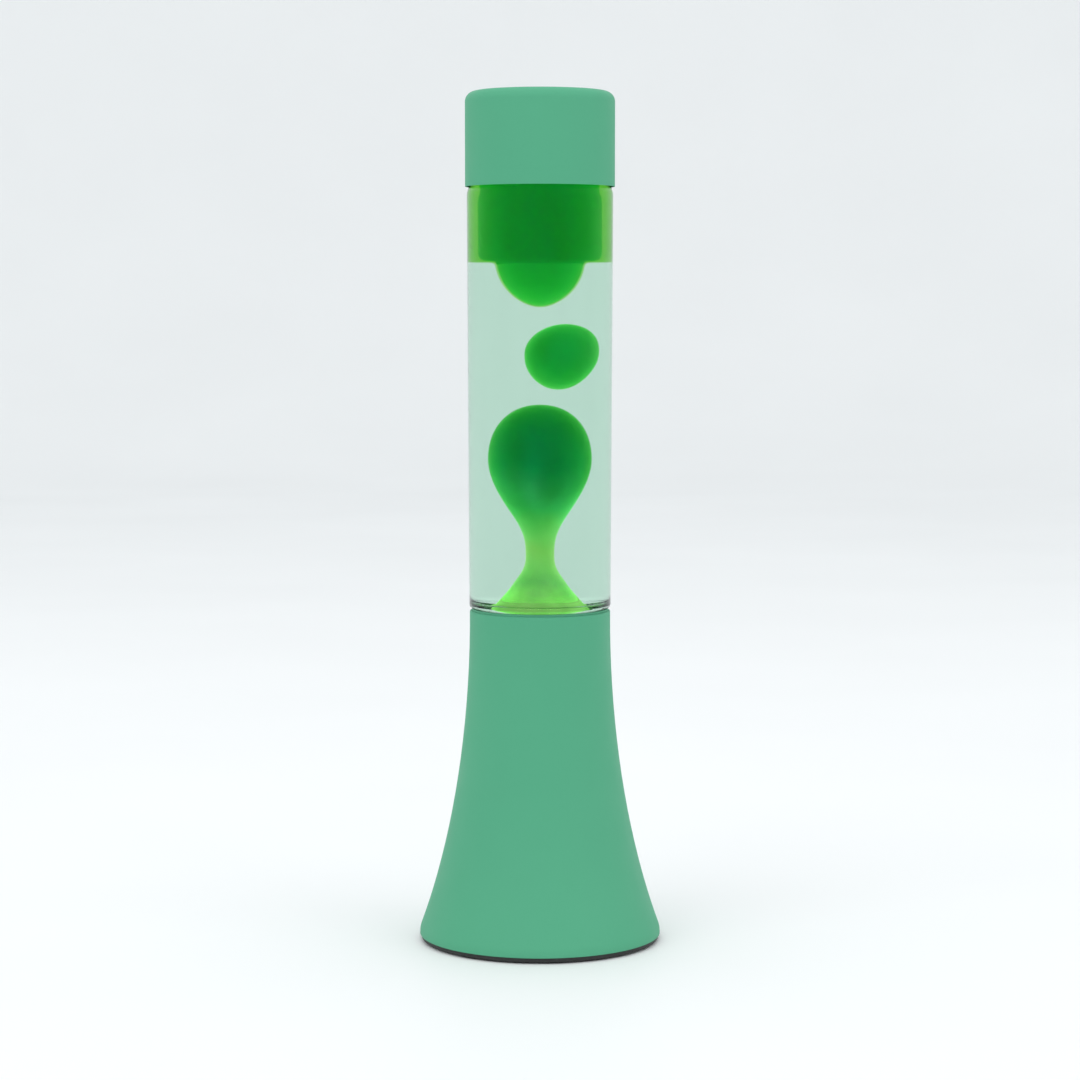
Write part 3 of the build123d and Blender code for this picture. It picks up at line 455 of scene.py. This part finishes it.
NODE_LOOKS = {
    "base_shell": MINT, "cap_shell": MINT, "base_plate": BLACK_ABS, "cord_gland": BLACK_ABS,
    "gland_nut": BLACK_ABS, "rubber_feet": RUBBER, "cap_grip_ring": FOAM, "shell_lugs": ZINC,
    "plate_screws": ZINC, "holder_bracket": ZINC, "bracket_washer": ZINC, "bracket_screws": ZINC,
    "holder_nipple": ZINC, "nipple_nut": ZINC, "terminal_block": NYLON, "terminal_tubes": BRASS,
    "terminal_screws": BRASS, "earth_tag": TINNED, "lampholder_liner": BRASS, "lampholder_contact": BRASS,
    "lampholder_body": BAKELITE, "lead_live": BROWN, "lead_neutral": BLUE, "lead_earth": EARTH,
    "seat_gasket": MINT_SILICONE, "bulb_envelope": REFLECTOR, "bulb_stem": SILICONE,
    "bulb_insulator": BLACK_GLASS, "bulb_screw_cap": NICKEL, "bulb_contact": SOLDER,
    "bulb_support_wires": FILAMENT_WIRE, "bulb_filament": FILAMENT_WIRE, "bottle_glass": GLASS,
    "liquid": LIQUID, "wax_top": WAX_THIN, "wax_ball": WAX_BALL, "wax_column": WAX_RISING,
    "heating_coil": SPRING_WIRE, "crown_cap": TINPLATE, "crown_liner": SILICONE,
}
for node_name, look_used in NODE_LOOKS.items():
    shown_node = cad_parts[node_name]
    shown_node.data.materials.clear()
    shown_node.data.materials.append(look_used)


# ---------------------------------------------------------------- liquid
OVERLAP = 0.12 * MM  # the liquid reaches this far into the glass, so that no film of air shows between them
BORE_LOW_R = BORE_TOP_R - BORE_TAPER
STEP_Z = RIM_Z + SEAT_GAP + GLASS_T  # where the bore widens, above the base's rim


def bore(z):
    """The bottle's bore at height z, between the step and the shoulder."""
    share = min(max((z - STEP_Z) / (SHOULDER_Z - STEP_Z), 0), 1)
    return BORE_LOW_R + share * (BORE_TOP_R - BORE_LOW_R)


def liquid_outline():
    """The inside of the bottle up to the liquid's level, with a small meniscus."""
    low = LIQUID_LOW - OVERLAP
    spigot_r = SPIGOT_WAX_R + SPIGOT_FILM + OVERLAP
    pull = 0.45  # share of a corner's size at which its curve's control points stand
    heel = 4.0 * MM
    points = kicked_floor(low)
    points.append((spigot_r - heel, low))
    points += bezier((spigot_r - heel, low), (spigot_r - heel * pull, low), (spigot_r, low + heel * pull),
                     (spigot_r, low + heel), 8)
    root_z = STEP_Z - OVERLAP
    root = 1.6 * MM
    root_pull = 0.7 * MM
    points.append((spigot_r, root_z - root))
    points += bezier((spigot_r, root_z - root), (spigot_r, root_z - root_pull),
                     (spigot_r + root_pull, root_z), (spigot_r + root, root_z), 6)
    corner_r = bore(STEP_Z) + OVERLAP
    corner = 1.4 * MM
    points.append((corner_r - corner, root_z))
    points += bezier((corner_r - corner, root_z), (corner_r - corner * pull, root_z),
                     (corner_r, root_z + corner * pull), (corner_r, root_z + corner), 8)
    shoulder_r = bore(SHOULDER_Z) + OVERLAP
    points.append((shoulder_r, SHOULDER_Z))
    round_r = 5.7 * MM + OVERLAP
    centre_r = shoulder_r - round_r
    turn = math.radians(55)
    arc_steps = 8
    for i in range(1, arc_steps + 1):
        a = turn * i / arc_steps
        points.append((centre_r + round_r * math.cos(a), SHOULDER_Z + round_r * math.sin(a)))
    slope_r, slope_z = points[-1]
    run = (LIQUID_TOP - slope_z) / math.cos(turn)
    edge_r = slope_r - run * math.sin(turn)
    meniscus_width = 1.5 * MM
    points.append((edge_r, LIQUID_TOP))
    points.append((edge_r - meniscus_width, LIQUID_TOP - 0.8 * MM))
    points.append((0, LIQUID_TOP - 0.9 * MM))
    return points


finished("liquid_fill", lathe(liquid_outline(), 192), "bottle", ["liquid"], LIQUID)


# ---------------------------------------------------------------- wax
def uneven(amount, seed, fade=lambda z: 1.0):
    """A shape for lathe() that swells and dents the form a little, by smooth noise."""
    def shape(angle, radius, z):
        x, y = math.cos(angle), math.sin(angle)
        lump = noise.noise(Vector((x * 0.9 + seed, y * 0.9, z * 28)))
        grown = radius * (1 + amount * lump * fade(z))
        return (grown * x, grown * y, z)
    return shape


def lobe_outline(skin):
    """The hanging lobe and the start of the mass's flat underside, set inwards by skin."""
    low = LOBE_LOW + skin
    lobe_r = LOBE_R - skin
    join_z = low + 17.2 * MM
    edge_z = low + 19.2 * MM
    points = [(0, low)]
    points += bezier((0, low), (5.2 * MM, low), (lobe_r - 1.6 * MM, low + 6.2 * MM), (lobe_r, join_z), 24)
    points += bezier((lobe_r, join_z), (lobe_r + 0.2 * MM, edge_z - 0.6 * MM), (lobe_r + 0.8 * MM, edge_z),
                     (lobe_r + 2.5 * MM, edge_z), 12)
    return points


def wax_top_outline():
    """The mass under the shoulder and the lobe that hangs from it, from its lowest point to its top."""
    points = lobe_outline(0)
    edge_r, edge_z = points[-1]
    rise_z = edge_z + 5.1 * MM
    crest_z = WAX_TOP_HIGH - 9 * MM
    wall_low = bore(rise_z) - FILM
    wall_high = bore(crest_z) - FILM
    points += bezier((edge_r, edge_z), (25.5 * MM, edge_z), (wall_low, edge_z + 0.8 * MM),
                     (wall_low, rise_z), 14)
    points.append((wall_high, crest_z))
    points += bezier((wall_high, crest_z), (wall_high, crest_z + 6 * MM), (20 * MM, WAX_TOP_HIGH),
                     (0, WAX_TOP_HIGH), 16)
    return points


def wax_core_outline():
    """The denser middle of the top mass, a skin's width inside its hanging lobe."""
    points = lobe_outline(0.5 * MM)
    edge_r, edge_z = points[-1]
    core_r = 20.2 * MM
    top = WAX_TOP_HIGH - 1 * MM
    points += bezier((edge_r, edge_z), (edge_r + 2 * MM, edge_z), (core_r, edge_z + 1 * MM),
                     (core_r, edge_z + 3.5 * MM), 10)
    points.append((core_r, top - 8 * MM))
    points += bezier((core_r, top - 8 * MM), (core_r, top - 3 * MM), (15 * MM, top), (0, top), 12)
    return points


def column_fade(z):
    """Full unevenness in the blob, none where the wax meets the bottle."""
    fade_start, fade_span = 0.150, 0.040
    return min(max((z - fade_start) / fade_span, 0), 1)


def column_outline():
    """Wax on the bottle's floor, rising through a neck into a tall blob."""
    floor = COLUMN_LOW
    wall = SPIGOT_WAX_R

    def below(radius, drop):
        """A point so far, in millimetres, from the axis and below the blob's top."""
        return (radius * MM, COLUMN_HIGH - drop * MM)

    side = below(wall / MM, 107.5)
    mound = below(9.0, 78.0)
    neck = below(4.7, 65.5)
    throat = below(7.2, 51.5)
    widest = below(17.0, 23.7)
    points = kicked_floor(floor, 8)
    points += bezier((KICK_FOOT_R, floor), (21 * MM, floor), (wall, floor + 2 * MM),
                     (wall, floor + 5 * MM), 8)
    points.append(side)
    points += bezier(side, below(wall / MM, 97.5), below(12.5, 85.0), mound, 20)
    points += bezier(mound, below(6.4, 72.8), below(4.7, 71.0), neck, 14)
    points += bezier(neck, below(4.7, 60.0), below(4.9, 57.0), throat, 12)
    points += bezier(throat, below(9.7, 45.5), below(17.0, 35.0), widest, 18)
    points += bezier(widest, below(17.0, 11.0), below(11.0, 0), below(0, 0), 24)
    return points


def ball_bmesh():
    """The free ball of wax: egg-shaped, widest above its middle, and leaning, like a drop on its way up."""
    centre = (BALL_LOW + BALL_HIGH) / 2
    radii = (BALL_HIGH - BALL_LOW) / 2
    egg = 0.12
    egg_swell = 1.01  # what the egg shape makes of the widest radius, at most
    lump_size = 0.03
    lean = 1.2 * MM

    def shape(angle, radius, z):
        x, y = math.cos(angle), math.sin(angle)
        lump = noise.noise(Vector((x * 0.8 + 3.1, y * 0.8, z * 1.4)))
        r = radius * (1 + lump_size * lump) * radii.x
        return (centre.x + r * x + lean * z, centre.y + r * y, centre.z + radii.z * z)

    steps = 48
    outline = [(0, -1)]
    for i in range(1, steps):
        a = math.pi * i / steps - math.pi / 2
        outline.append((math.cos(a) * (1 + egg * math.sin(a)) / egg_swell, math.sin(a)))
    outline.append((0, 1))
    return lathe(outline, 96, shape)


finished("wax_top_mass", lathe(wax_top_outline(), 160), "bottle", ["wax_top"], WAX_THIN)
finished("wax_top_core", lathe(wax_core_outline(), 160, uneven(0.012, 2)), "bottle",
         ["wax_top"], WAX_TOP)
finished("wax_column_rise", lathe(column_outline(), 128, uneven(0.02, 5, column_fade)), "bottle",
         ["wax_column"], WAX_RISING)
finished("wax_ball_drop", ball_bmesh(), "wax_ball", ["wax_ball"], WAX_BALL)


# ---------------------------------------------------------------- heating coil
def coil_points():
    """A spring bent into a ring on the bottle's floor."""
    low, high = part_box("heating_coil")
    margin = 0.35 * MM  # the wire's radius and a little room
    turn_r = (high[2] - low[2]) / 2 - margin
    ring_r = (high[0] - low[0]) / 2 - (high[2] - low[2]) / 2
    middle = (high[2] + low[2]) / 2
    turns, per_turn = 58, 14
    points = []
    for i in range(turns * per_turn):
        round_ring = TAU * i / (turns * per_turn)
        round_wire = TAU * i / per_turn
        radius = ring_r + turn_r * math.cos(round_wire)
        points.append((radius * math.cos(round_ring), radius * math.sin(round_ring),
                       middle + turn_r * math.sin(round_wire)))
    return points


wire("heating_spring", coil_points(), 0.3 * MM, "bottle", SPRING_WIRE, ["heating_coil"],
     resolution=2, cyclic=True)


# ---------------------------------------------------------------- screw threads of the bulb and its holder
THREAD_PITCH = 2.82 * MM


def thread(root_r, crest_r, z_low, z_high):
    """The radius of a rolled round thread at an angle and height, plain at both ends."""
    def radius_at(angle, z):
        ends = min((z - z_low) / THREAD_PITCH, (z_high - z) / THREAD_PITCH, 1)
        wave = 0.5 + 0.5 * math.cos(TAU * z / THREAD_PITCH - angle)
        return root_r + (crest_r - root_r) * wave * max(ends, 0)
    return radius_at


def screw_cap_bmesh():
    """The bulb's nickel cap: a rolled thread below and a flared skirt round the neck."""
    low, high = low_high("bulb_screw_cap")
    skirt_r = outer_radius("bulb_screw_cap")
    crest = 6.9 * MM
    depth = 0.75 * MM
    sheet = 0.3 * MM
    flare_z = high - 6.0 * MM
    flare_height = 2.0 * MM
    outer_thread = thread(crest - depth, crest, low, flare_z)

    def outer(angle, z):
        flare = min(max((z - flare_z) / flare_height, 0), 1)
        smooth = flare * flare * (3 - 2 * flare)
        below = outer_thread(angle, min(z, flare_z))
        return below + (skirt_r - below) * smooth

    return tube_wall(outer, lambda angle, z: outer(angle, z) - sheet, 72, 120, low, high)


def liner_bmesh():
    """The holder's brass liner, rolled to the same thread."""
    low, high = low_high("lampholder_liner")
    crest = outer_radius("lampholder_liner")
    depth = 0.5 * MM
    sheet = 0.25 * MM
    outer = thread(crest - depth, crest, low, high)
    return tube_wall(outer, lambda angle, z: outer(angle, z) - sheet, 72, 90, low, high)


finished("bulb_cap_thread", screw_cap_bmesh(), "bulb", ["bulb_screw_cap"], NICKEL)
finished("holder_thread", liner_bmesh(), "base", ["lampholder_liner"], BRASS)


# ---------------------------------------------------------------- bulb filament
def filament_points():
    """A fine coil hung in an arc between the support wires."""
    low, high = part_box("bulb_filament")
    coil_r = 0.32 * MM
    margin = 0.4 * MM  # the coil's radius, the wire's and a little room
    half = (high[0] - low[0]) / 2 - margin
    rise = (high[2] - low[2]) - 2 * margin
    turns, steps = 28, 420
    points = []
    for i in range(steps + 1):
        t = 2 * i / steps - 1
        around = TAU * turns * i / steps
        points.append((half * t, coil_r * math.cos(around),
                       low[2] + margin + rise * (1 - t * t) + coil_r * math.sin(around)))
    return points


wire("bulb_filament_coil", filament_points(), 0.07 * MM, "bulb", FILAMENT_WIRE, ["bulb_filament"],
     resolution=1)


# ---------------------------------------------------------------- crown cap
def crown_bmesh():
    """The closure: a domed disc with 21 flutes crimped into its skirt."""
    low, high = low_high("crown_cap")
    skirt_r = outer_radius("crown_cap")
    sheet = 0.26 * MM
    flutes = 21
    flute_depth = 0.55 * MM
    crimp_r = 13.0 * MM  # the flutes begin here
    top_r = 12.6 * MM
    outline = [(0, high - sheet * 0.2)]
    outline += bezier((0, high - sheet * 0.2), (6 * MM, high), (10 * MM, high), (top_r, high - 0.25 * MM), 8)
    outline += bezier((top_r, high - 0.25 * MM), (14.0 * MM, high - 0.7 * MM), (14.2 * MM, high - 2.0 * MM),
                      (skirt_r - 0.3 * MM, low + 0.3 * MM), 16)
    inside = [(max(r - sheet, 0), z - sheet) for r, z in reversed(outline)]
    inside[-1] = (0, inside[-1][1])

    def shape(angle, radius, z):
        reach = min(max((radius - crimp_r) / (skirt_r - crimp_r), 0), 1)
        depth = flute_depth * reach * (0.5 - 0.5 * math.cos(flutes * angle))
        return ((radius - depth) * math.cos(angle), (radius - depth) * math.sin(angle), z)

    return lathe(outline + inside, flutes * 12, shape)


finished("crown_closure", crown_bmesh(), "bottle", ["crown_cap"], TINPLATE)


# ---------------------------------------------------------------- floor, lights and camera
def studio():
    """A round pale floor that curves up at its edge, soft boxes and an even pale surround."""
    floor_r, cove_r, cove_steps = 3.0, 1.2, 24
    profile = [(0, 0), (floor_r, 0)]
    for i in range(1, cove_steps + 1):
        a = math.pi / 2 * i / cove_steps
        profile.append((floor_r + cove_r * math.sin(a), cove_r - cove_r * math.cos(a)))
    look = Look("studio_floor", Roughness=0.6)
    shades = [(0.3, (0.86, 0.87, 0.87)), (0.7, (0.88, 0.89, 0.89))]
    look.feed(look.ramp(look.noise(3, 2), shades), "Base Color")
    floor = smooth_object("studio_floor", lathe(profile, 128), look.material)

    world = bpy.data.worlds.new("studio_world")
    bpy.context.scene.world = world
    world.use_nodes = True
    background = world.node_tree.nodes["Background"]
    background.inputs["Color"].default_value = (0.95, 0.98, 1.0, 1)
    background.inputs["Strength"].default_value = 0.95

    centre = Vector((0, 0, LAMP_TOP / 2))
    boxes = {
        "key": ((-1.6, -1.9, 2.6), 2.0, 18),
        "fill": ((2.3, -1.5, 2.2), 2.0, 11),
        "top": ((0.0, 0.1, 1.6), 1.4, 4),
    }
    for name, (place, size, power) in boxes.items():
        data = bpy.data.lights.new(name, "AREA")
        data.shape = "SQUARE"
        data.size = size
        data.energy = power
        lamp = bpy.data.objects.new(name, data)
        lamp.location = place
        lamp.visible_camera = False
        lamp.visible_transmission = False
        lamp.rotation_euler = (centre - Vector(place)).to_track_quat("-Z", "Y").to_euler()
        bpy.context.scene.collection.objects.link(lamp)


def camera():
    """An eye 1.24 m in front, about as high as the hanging lobe of wax, looking slightly down at the lamp."""
    data = bpy.data.cameras.new("camera")
    data.lens = 95
    eye = bpy.data.objects.new("camera", data)
    eye.location = (0, -1.24, 0.280)
    aim = Vector((0, 0, LAMP_TOP / 2 - 0.009))
    eye.rotation_euler = (aim - eye.location).to_track_quat("-Z", "Y").to_euler()
    bpy.context.scene.collection.objects.link(eye)
    bpy.context.scene.camera = eye


studio()
camera()
bpy.context.scene.view_settings.view_transform = "Standard"
